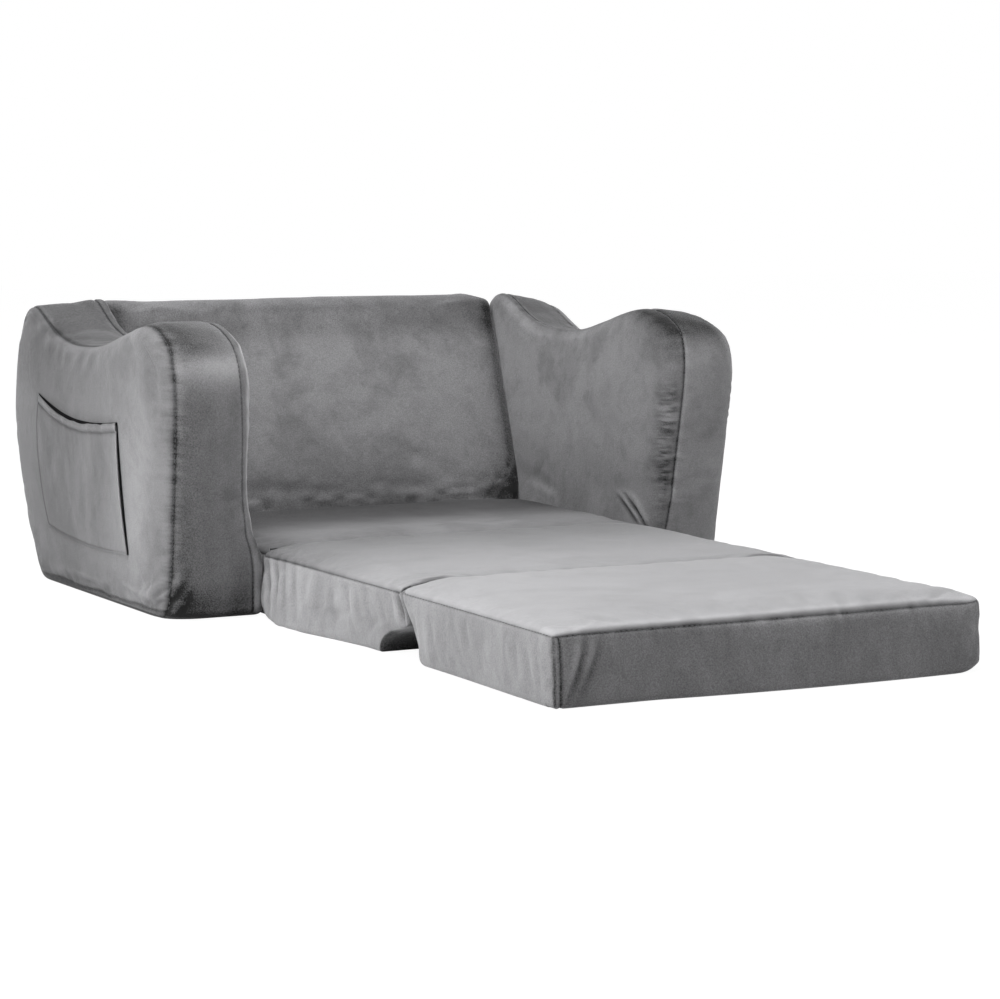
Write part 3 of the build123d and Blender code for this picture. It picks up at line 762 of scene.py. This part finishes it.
def buildBack():
    front = np.linspace(back["foot"], back["top"][0], 200)
    rear = arcLine(*back["rear"], 150)
    heel = np.linspace(rear[-1], back["heel"][0], 60)
    floor = np.linspace(back["heel"][1], back["foot"], 60)
    line = np.vstack([front, arcLine(*back["top"], 40)[1:], rear[1:], heel[1:], floor[:-1]])
    m, n = 16, 44
    corners = [np.array(c) for c in ((352.8, 0), (481.6, 353.4), (518, 359), (471.5, 0))]
    loop = sideLoop(line, (corners[3], corners[0], corners[1], corners[2]), m, n, 0.0)
    rings = edgeRings((0, 30, 60, 90), [k / 50 for k in range(1, 50)])
    sizes = np.tile(back["edges"], (len(loop), 1)) * np.where(loop[:, 1] < 20, 0.3, 1)[:, None]
    block = sewnBlock(loop, m, n, 2 * back["half"], rings, sizes, sizes)
    p = block["points"]
    y, z = p[:, 0] + depthShift, p[:, 1] * (1 + back["raise"] / 372)
    x = p[:, 2] - back["half"]
    z = z - back["endDrop"] * ease((x - 240) / 46) * ease((z - 290) / 60)
    wider = np.where(x < 0, faceOf("left", z), faceOf("right", z) + rearOut("right", 400, z) * ease((z - 70) / 30))
    x = x * (1 + (wider + 1.5 * (z > 90)) / back["half"])
    block["points"] = np.c_[x, y, z]
    block = finer(settle(turnedOut(block), (z < 20) | (y > 330) | (np.abs(x) > 280), 2.5, 2.5))
    p = block["points"]
    normals = normalsOf(p, block["faces"])
    high = np.clip(p[:, 2] / 40, 0, 1)
    facing = np.clip(-normals[:, 1], 0, 1)
    across = np.clip(1 - (p[:, 0] / back["half"]) ** 2, 0, 1)
    rise = facing * back["crown"] * across * np.sin(math.pi * np.clip(p[:, 2] / 372, 0, 1)) ** 0.6
    rise += (1.2 * softNoise(p, 80, 21) + 0.5 * softNoise(p, 30, 22)) * high * np.where(normals[:, 1] > 0.2, 0.35, 1)
    gather = np.exp(-np.abs(p[:, 2] - 96) / 20) * facing
    ripple = softNoise(np.c_[p[:, 0], p[:, 2] * 2.2], 16, 23)
    rise += gather * 2.0 * ripple
    folded = creases(p + [0, -depthShift, 0], normals, back["folds"]) * facing
    rise += folded
    # painted shade at the foot near the seat, at the ends beside the arms, at the top and in the lower right corner;
    # painted light and shade along the ripples and folds
    nearSeat = np.clip(p[:, 2] - 88, 0, None)
    shade = -(0.36 * np.exp(-nearSeat / 60) + 0.12 * np.exp(-nearSeat / 13)) * facing + 0.3 * gather * ripple
    shade += 0.16 * folded - 0.4 * np.exp(-np.clip(283 - np.abs(p[:, 0]), 0, None) / 8) * facing
    shade -= 0.28 * np.exp(-np.clip(283 - p[:, 0], 0, None) / 34) * facing + 0.3 * ease((p[:, 2] - 296) / 40)
    corner = np.exp(-((p[:, 0] - 268) / 34) ** 2 - ((p[:, 2] - 102) / 26) ** 2) * facing
    shade -= corner * (0.35 + 0.4 * softNoise(p, 9, 24))
    rise += 2.0 * corner * softNoise(p, 12, 25)
    block["points"] = p + normals * rise[:, None]
    p, faces = block["points"], block["faces"]
    middle = p[faces].mean(1)
    seamLine = middle[:, 1] - depthShift - back["seam"] - 0.3645 * (middle[:, 2] - 372)
    part = np.where(seamLine > 0, 1, 0)
    part[p[faces][:, :, 2].max(1) < 1.5] = 2
    nodes = ("back_front_panel", "back_rear_panel", "back_sole")
    addPanels(nodes, (velvets["backFace"], velvets["armStrip"], soleCloth), 2, p, faces, part, "sofa", shade=shade)
    addFoam("back", p - normalsOf(p, faces) * coreInset, faces, "sofa")


buildBack()
print("back made")


# ---- folding seat ----
seat = {
    "half": 275, "seam": 77, "crown": 15, "round": (4, 4),
    "base": {
        "rear": 352.3, "front": 11.3, "half": 273, "lean": 0.3645, "crownRun": 30, "corners": (6, 6, 6, 6), "folds": (),
    },
    "middle": {
        "rear": 8.7, "front": -371.0, "crownRun": 44, "corners": (5, 5, 7, 7),
        "folds": (((-281, 2, 72), (-287, -26, 12), 6, 2.2), ((-280, -16, 75), (-289, -58, 12), 6, 2.6),
                  ((-279, -38, 75), (-288, -84, 12), 6, 2.4), ((-278, -62, 75), (-284, -112, 16), 7, 2.0),
                  ((-277, -96, 74), (-280, -136, 26), 6, 1.4), ((-275, -364, 76), (-273, -381, 42), 4, -3.0),
                  ((-275, -352, 72), (-274, -372, 40), 4, 1.8), ((-276, -180, 66), (-276, -196, 20), 7, 1.2),
                  ((-275, -250, 60), (-275, -262, 22), 8, 1.1), ((280, -40, 70), (286, -90, 14), 7, 1.8)),
    },
    "front": {
        "rear": -373.2, "front": -730.5, "crownRun": 60, "corners": (6, 22, 8, 8),
        "folds": (((-244, -734, 74), (-264, -744, 8), 4, 3.0), ((-226, -734, 72), (-250, -744, 12), 4, 2.2),
                  ((-275, -690, 66), (-275, -704, 14), 6, 1.6), ((-275, -640, 62), (-275, -650, 12), 7, 1.1),
                  ((-275, -430, 66), (-275, -446, 20), 8, 1.2), ((262, -728, 70), (250, -738, 24), 6, 1.8),
                  ((270, -728, 60), (266, -736, 12), 5, 1.6)),
    },
}


def ellipseShare(t):
    t = np.clip(t, 0, 1)
    return np.sqrt(np.clip(1 - (1 - t) ** 2, 0, 1))


def slopeShare(t, power=1.25):
    return 1 - (1 - np.clip(t, 0, 1)) ** power


def topHeight(name, x, y, half, rear, front):  # height of the crowned top over the floor
    edgeGap = half - np.abs(x)
    sideways = 0.36 * ellipseShare(edgeGap / 12) + 0.64 * slopeShare(edgeGap / seat[name]["crownRun"])
    fromRear, fromFront = rear - y, y - front
    if name == "base":
        ends = (1 - 0.3 * (1 - ellipseShare(fromFront / 26))) * (1 - 0.85 * (1 - slopeShare(fromRear / 80, 1.6)))
    elif name == "middle":
        ends = (1 - 0.3 * (1 - ellipseShare(fromRear / 26))) * (1 - 0.1 * (1 - ellipseShare(fromFront / 14)))
    else:
        ends = 0.4 * ellipseShare(fromFront / 13) + 0.6 * slopeShare(fromFront / 52, 1.6)
        ends = ends * (1 - 0.1 * (1 - ellipseShare(fromRear / 16)))
    crown = seat["crown"] - 2 * (x / half) ** 2
    return seat["seam"] + crown * sideways * ends


def faceShift(name, x, z):  # how far the rear and front faces lie in from their straight lines
    side = ease((np.abs(x) - 175) / 40)
    rear, front = np.zeros(len(z)), np.zeros(len(z))
    if name == "base":
        rear = seat["base"]["lean"] * z
    elif name == "middle":
        low = np.clip(32 - z, 0, 32)
        rear = -(32 - np.sqrt(np.clip(32 ** 2 - low ** 2, 0, None)))
        arch = 76 * np.sqrt(np.clip(1 - (z / 38) ** 2, 0, 1)) - 20 * np.clip((77 - z) / 39, 0, 1)
        flat = 56 * np.clip(1 - z / 42, 0, 1)
        front = arch * side + flat * (1 - side)
    else:
        flat = -38 * np.clip((70 - z) / 52, 0, 1)
        foot = np.clip(15 - z, 0, 15)
        rear = flat - (15 - np.sqrt(np.clip(15 ** 2 - foot ** 2, 0, None)))
    return rear, front


def buildSeat(name, body):
    size = seat[name]
    half, rear, front = size.get("half", seat["half"]), size["rear"], size["front"]
    box = np.array([(-half, front), (half, front), (half, rear), (-half, rear)], float)
    line = np.vstack([np.linspace(box[k], box[(k + 1) % 4], 400)[:-1] for k in range(4)])
    line = roundedLoop(line, box, size["corners"])
    m, n = 70, 58
    loop = sideLoop(line, box, m, n, 0.5)
    rings = [("low", t) for t in np.radians((0, 45, 90))] + [("mid", k / 13) for k in range(1, 14)]
    sizes = np.tile(seat["round"], (len(loop), 1))
    block = sewnBlock(loop, m, n, seat["seam"], rings, sizes, sizes * 0)
    p, steps = block["points"], block["steps"]
    x, y, a = p[:, 0], p[:, 1], p[:, 2]
    z = a * topHeight(name, x, y, half, rear, front) / seat["seam"]
    share = (y - front) / (rear - front)
    shiftRear, shiftFront = faceShift(name, x, np.minimum(z, 92))
    low = np.clip(1 - z / seat["seam"], 0, 1)
    if name == "middle":  # the loose side cloth spreads at the foot, toward the arms
        reach = np.interp(y, (-371, -311, -230, -145, -60, 0), (-2, -1, 8, 20, 24, 6))
        spreadOut = 4 * ease((y + 60) / 60) + low * reach
        spreadOut = np.where(x > 0, 0.3 * spreadOut, spreadOut)
        x = x * (1 + spreadOut / half)
    y = y + shiftRear * share + shiftFront * (1 - share)
    if name == "front":
        x = x * (1 + 3.5 * ease((-480 - y) / 240) / half)
        y = y - (1 - share) * low ** 0.6 * (6 + 15 * np.clip(1 - ((x - 100) / 250) ** 2, 0, 1))
        corner = ease((x - 225) / 55) ** 2 * ease((front + 40 - y) / 40)
        x, y, z = x - 1.5 * low * corner, y + 8 * low * corner, z + 11 * low ** 3 * corner
    block["points"] = np.c_[x, y + depthShift, z]
    topNet = block["ring"] > steps[-1] - 1e-6
    held = (z < 10) | (np.abs(block["ring"] - steps[-1]) < 6) | (~topNet & (np.abs(x) < 180))
    block = finer(settle(turnedOut(block), held, 2.0, 2.0))
    p, ring = block["points"], block["ring"]
    normals = normalsOf(p, block["faces"])
    at = p + [0, -depthShift, 0]
    lumps = (0.9 * softNoise(p, 95, 31) + 0.45 * softNoise(p, 36, 32)) * np.clip(p[:, 2] / 20, 0, 1)
    sideCloth = np.abs(p[:, 0]) > half - 14
    seamGap = np.abs(ring - steps[-1])
    sewn = sideCloth | ((name == "front") & (at[:, 1] < front + 20))
    under = np.clip((steps[-1] - ring) / 20, 0, 1) * np.clip(p[:, 2] / 15, 0, 1)
    wave = softNoise(np.c_[p[:, 1] - p[:, 2] * 0.5, p[:, 2] * 0.22], 13, 35) * (0.6 if name == "front" else 1)
    lumps += 1.2 * wave * sideCloth * under
    ragged = np.where((name == "front") & (at[:, 1] < front + 20), 0.7, 0.3)
    pucker = softNoise(np.c_[block["along"], ring * 0.16], 8, 36) * np.exp(-seamGap / 9) * sewn * ragged
    lumps += 1.0 * pucker - 1.6 * bell(seamGap, 2.2) * sewn
    # painted shade and highlights of the puckers and side ripples, and a darker line at the seams
    shade = 0.3 * pucker - (0.32 + 0.22 * (at[:, 1] < front + 20)) * bell(seamGap, 1.5) * sewn
    shade += 0.12 * wave * sideCloth * under
    # painted shade on the front face of the front cushion, and a painted highlight just below its top edge
    frontFace = np.clip(-normals[:, 1] - 0.55, 0, 0.4) / 0.4 * (ring < steps[-1] + 6)
    if name == "front":
        shade -= 0.42 * frontFace
        for place in (-half - 1, -half + 6, half - 4):  # sewn up and down beside the corners
            gap = np.abs(p[:, 0] - place) + 40 * (at[:, 1] > front + 12) + 40 * (ring > steps[-1] - 1)
            lumps -= 1.3 * bell(gap, 2.2)
            shade -= 0.55 * bell(gap, 1.8)
        shade += 0.16 * bell(ring - steps[-1] - 6, 6) * (ring > steps[-1]) * (at[:, 1] < front + 30)
    folded = creases(at, normals, size["folds"])
    lumps += folded
    shade += 0.14 * folded
    if name == "middle":  # painted shade inside the notch at the sides
        notch = (at[:, 1] < front + 78) & (np.abs(normals[:, 0]) < 0.85)
        deep = ease((np.abs(p[:, 0]) - 172) / 46) * ease((-0.2 - normals[:, 1]) / 0.2)
        shade -= notch * deep * (0.4 + 0.42 * ease((46 - p[:, 2]) / 14))
    flat = np.clip((np.abs(p[:, 0]) - 165) / 20, 0, 1)
    besideZip = {"base": False, "middle": at[:, 1] < front + 60, "front": at[:, 1] > rear - 45}[name]
    zipFace = (p[:, 2] < 72) & besideZip
    lumps = np.where(zipFace, lumps * flat - 0.4 * (1 - flat), lumps)
    if name == "base":
        # painted shade: the base top darker toward the back and toward the arms
        depthSteps, depthTones = (60, 85, 120, 160, 200, 240, 320), (-0.06, -0.12, -0.35, -0.58, -0.72, -0.78, -0.8)
        shade += np.interp(at[:, 1], depthSteps, depthTones)
        shade -= 0.14 * ease((np.abs(p[:, 0]) - 200) / 80)
    elif name == "middle":
        # painted shade: the middle top darker toward the rear
        shade -= (0.14 + 0.38 * ease((at[:, 1] + 330) / 300)) * (ring > steps[-1] - 1)
    block["points"] = p + normals * lumps[:, None]
    block["points"][:, 2] = np.clip(block["points"][:, 2], 0, None)
    p, faces, strip = block["points"], block["faces"], block["strip"]
    part = np.where(strip == -2, 0, np.where(strip == -1, 2, 1))
    top, foot = (velvets["baseTop"], soleCloth) if name == "base" else (velvets["seatTop"], velvets["seatSide"])
    nodes = [f"{name}_{panel}" for panel in ("top_panel", "boxing", "underside")]
    pieces = addPanels(nodes, (top, velvets["seatSide"], foot), 2, p, faces, part, body, shade=shade)
    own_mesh(pieces[0])
    normals = normalsOf(p, faces)
    if name != "base":
        on = seamPoints(block, steps[-1])
        stitches(f"{name}_edge_stitches", p[on], normals[on], body)
    core = p - normals * coreInset
    core[:, 2] = np.minimum(core[:, 2], 84)
    addFoam(name, core, faces, body)


for name, body in (("base", "sofa"), ("middle", "middle_panel"), ("front", "front_panel")):
    buildSeat(name, body)
print("seat made")


# ---- pocket, spine cloth, cords and zips ----
pocket = {
    "mouth": ((0.776, 0.683), (0.64, 0.632), (0.485, 0.612), (0.362, 0.62), (0.264, 0.637)),
    "front": ((0.264, 0.637), (0.246, 0.409), (0.228, 0.191)),
    "foot": ((0.228, 0.191), (0.46, 0.18), (0.738, 0.21)),
    "rear": ((0.738, 0.21), (0.794, 0.435), (0.776, 0.683)),
    "gape": 5.5, "hem": 12, "hemThick": 1.3, "slit": 3.2, "thick": 1.4,
}


def buildPocket():
    scale = np.array([arm["depth"], arm["height"]])
    mouth = spread(smoothLine(np.array(pocket["mouth"]) * scale, 200), 60)
    front, foot, rear = (arcLine(*(np.array(pocket[k]) * scale), 60) for k in ("front", "foot", "rear"))
    m, n = 70, 60
    loop = np.vstack([spread(foot, m)[:-1], spread(rear, n)[:-1], spread(mouth, m)[:-1], spread(front, n)[:-1]])
    net = coons(loop, m, n)
    v, u = np.linspace(0, 1, n)[None, :], np.linspace(0, 1, m)[:, None]  # u from front to rear, v from foot to mouth
    sag = np.sin(math.pi * u) ** 0.8
    tree = BVHTree.FromPolygons([Vector(q) for q in leftArm["points"]], leftArm["faces"].tolist())

    def onArm(place):
        hit = tree.ray_cast(Vector((-600, place[0] + depthShift, place[1])), Vector((1, 0, 0)))
        return hit[0].x if hit[0] else -400

    down = (1 - v) * 180  # distance below the mouth
    hem = pocket["hemThick"] * ease((pocket["hem"] - down) / 2) - 0.9 * bell(down - pocket["hem"] - 1, 1.6)
    slit = pocket["slit"] * np.exp(-u / 0.05) * (0.3 + 0.7 * np.sin(math.pi * (v * 0.9 + 0.02)))
    off = 1.0 + pocket["gape"] * v ** 3 * sag + hem + slit
    flat = net.reshape(-1, 2)
    outer = np.array([onArm(q) for q in flat]).reshape(m, n)
    seam = np.minimum(np.minimum(v, u), 1 - u)
    loose = softNoise(flat, 40, 41) + 0.6 * softNoise(flat * [1, 0.5], 17, 42)
    mouthWave = 1.9 * softNoise(np.c_[flat[:, 0], flat[:, 0] * 0], 13, 43).reshape(m, n) * np.exp(-down / 22) * sag
    x = outer - off - 0.7 * loose.reshape(m, n) * np.clip(seam * 6, 0, 1) - mouthWave
    face = np.c_[x.ravel(), net[..., 0].ravel() + depthShift, net[..., 1].ravel() + mouthWave.ravel()]
    points, faces = twoSided(face, face + np.array([pocket["thick"] * 0.6, 0, 0]), m, n)
    # painted shade under the hem and along the sewn foot and rear edges, a painted highlight on the hem, and the outer
    # side's painted light and shade
    shade = (-0.45 * bell(down - pocket["hem"] - 1, 1.5) + 0.14 * bell(down - 5, 4)) * np.ones((m, 1))
    shade = shade - 0.5 * bell(np.minimum(v * 180, (1 - u) * 290) - 2.5, 1.3)
    shade = np.tile(shade.ravel() - 0.06 + outerShade(flat[:, 0], flat[:, 1]), 2)
    node = "left_pocket_panel"
    panel = addPiece("left_pocket_cloth", points, faces, velvets["outerSide"], "sofa", (node,), shade=shade)
    # dark strips of painted shadow inside the pocket, seen along its open front edge and under its mouth
    for label, line, width in (("side", spread(front, 60), (1.6, 3.6)), ("mouth", mouth, (2.4, 2.4))):
        along = np.gradient(line, axis=0)
        along /= np.hypot(*along.T)[:, None]
        away = np.c_[along[:, 1], -along[:, 0]] * (1 if label == "side" else -1)
        if label == "side" and away[:, 0].mean() > 0:
            away = -away
        if label == "mouth" and away[:, 1].mean() < 0:
            away = -away
        grow = np.linspace(0, 1, len(line))
        if label == "side":
            wide = width[0] + (width[1] - width[0]) * grow
        else:
            wide = width[0] * np.sin(math.pi * np.clip(grow, 0.03, 0.97)) ** 0.5
        rows = np.stack([line - away * 3, line + away * wide[:, None]], axis=1).reshape(-1, 2)
        depth = np.array([onArm(q) for q in rows]) - 0.7
        strip = np.c_[depth, rows[:, 0] + depthShift, rows[:, 1]]
        k = 2 * np.arange(len(line) - 1)
        addPiece(f"left_pocket_{label}_painted_shadow", strip, np.c_[k, k + 1, k + 3, k + 2], pocketShadowPaint, "sofa")


buildPocket()


piping = {"radius": 1.3, "count": 140, "sides": 10, "endGap": 3, "shade": -0.2}


def buildPiping(name, node, body, y, top):  # covered cord that closes a crease between two cushions
    count, sides, end = piping["count"], piping["sides"], seat["half"] - piping["endGap"]
    x = np.linspace(-end, end, count)
    turns = np.linspace(0, 2 * math.pi, sides, endpoint=False)
    ring = np.c_[np.cos(turns), np.sin(turns)] * piping["radius"]
    rounds = [np.c_[np.full(sides, a), y + depthShift + ring[:, 0], h + ring[:, 1]] for a, h in zip(x, top(x))]
    points = np.concatenate(rounds)
    i, j = np.meshgrid(np.arange(count - 1), np.arange(sides), indexing="ij")
    a, b = (i * sides + j).ravel(), (i * sides + (j + 1) % sides).ravel()
    faces, shade = np.c_[a, b, b + sides, a + sides], np.full(len(points), piping["shade"])
    addPiece(name, points, faces, velvets["seatTop"], body, (node,), "cord", shade=shade)


buildPiping("fold_cord_cover", "fold_cord", "fold", 10,
            lambda x: topHeight("base", x, np.full(len(x), 11.5), 277, 352.3, 11.3) - 3.4)
buildPiping("notch_cord_cover", "notch_cord", "middle_panel", -372.1,
            lambda x: topHeight("front", x, np.full(len(x), -373.4), 275, -373.2, -730.5) - 3.2)

finishOf = {"zip_chain": tapeWeave, "zip_slider": pullMetal, "zip_pull": pullMetal}
for node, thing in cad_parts.items():
    for ending, finish in finishOf.items():
        if node.endswith(ending):
            thing.data.materials.clear()
            thing.data.materials.append(finish)


def buildSpine():
    low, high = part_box("spine_cloth")
    m, n = 110, 24
    x, z = np.meshgrid(np.linspace(low.x, high.x, m) / mm, np.linspace(low.z, high.z, n) / mm, indexing="ij")
    ripple = 0.25 * softNoise(np.c_[x.ravel(), z.ravel()], 24, 51).reshape(m, n)
    middle = (low.y + high.y) / 2 / mm
    face = np.c_[x.ravel(), (middle + ripple - 0.2).ravel(), z.ravel()]
    points, faces = twoSided(face, face + np.array([0, 0.5, 0]), m, n)
    piece = addPiece("spine_cover", points, faces, velvets["seatSide"], "spine", ("spine_cloth",))


buildSpine()
print("pocket, spine, cords and zips done")


# ---- studio ----
studio = {
    "camera": (-1.82278, -3.68644, 0.57256), "turn": (83.6555, -0.1079, -28.1350), "lens": 111.437,
    "floor": 9.0, "floorSink": -0.0005, "floorTone": 0.8, "floorGlow": 1.12, "glowShare": 0.86,
    "sky": (0.3, 1.0),  # light on the sofa, and what the camera sees
    "lamps": (
        ("topLamp", (-0.7, -0.55, 3.1), (0, -0.35, 0), 2.2, 88),
        ("sideLamp", (-3.3, -0.2, 1.5), (0, -0.3, 0.1), 1.8, 46),
        ("faceLamp", (0.8, -4.2, 1.4), (0, -0.3, 0.15), 2.4, 4),
    ),
}
camera = bpy.data.objects.new("camera", bpy.data.cameras.new("camera"))
scene.collection.objects.link(camera)
camera.location = studio["camera"]
camera.rotation_euler = [math.radians(v) for v in studio["turn"]]
camera.data.lens = studio["lens"]
camera.data.sensor_width = 36
camera.data.clip_end = 60
scene.camera = camera
for name, place, aim, size, power in studio["lamps"]:
    lamp = bpy.data.objects.new(name, bpy.data.lights.new(name, "AREA"))
    scene.collection.objects.link(lamp)
    lamp.data.shape = "DISK"
    lamp.data.size = size
    lamp.data.energy = power
    lamp.location = place
    lamp.rotation_euler = (Vector(aim) - Vector(place)).to_track_quat("-Z", "Y").to_euler()

world = bpy.data.worlds.new("studio")
scene.world = world
world.use_nodes = True
sky = world.node_tree
sky.nodes.clear()
rays = addNode(sky, "LightPath", {}).outputs
seen = sums(sky, "MAXIMUM", rays["Is Camera Ray"], rays["Is Glossy Ray"])
seen = sums(sky, "MAXIMUM", seen, rays["Is Transmission Ray"])
lightSky, whiteSky = (addNode(sky, "Background", {"Color": (1, 1, 1, 1), "Strength": v}) for v in studio["sky"])
skyBlend = addNode(sky, "MixShader", {0: seen, 1: lightSky.outputs[0], 2: whiteSky.outputs[0]})
addNode(sky, "OutputWorld", {0: skyBlend.outputs[0]})

floorMesh = bpy.data.meshes.new("floor")
f, sink = studio["floor"], studio["floorSink"]
floorMesh.from_pydata([(-f, -f, sink), (f, -f, sink), (f, f, sink), (-f, f, sink)], [], [(0, 1, 2, 3)])
floor = bpy.data.objects.new("floor", floorMesh)
scene.collection.objects.link(floor)
floorPaint = bpy.data.materials.new("floorPaint")
floorPaint.use_nodes = True
paint = floorPaint.node_tree
paint.nodes.clear()
rays = addNode(paint, "LightPath", {}).outputs
share = sums(paint, "MULTIPLY", rays["Is Camera Ray"], studio["glowShare"])
matt = addNode(paint, "BsdfDiffuse", {"Color": (*[studio["floorTone"]] * 3, 1)})
glow = addNode(paint, "Emission", {"Strength": studio["floorGlow"]})
floorBlend = addNode(paint, "MixShader", {0: share, 1: matt.outputs[0], 2: glow.outputs[0]})
addNode(paint, "OutputMaterial", {0: floorBlend.outputs[0]})
floor.data.materials.append(floorPaint)
scene.view_settings.view_transform = "Standard"
print("studio ready")
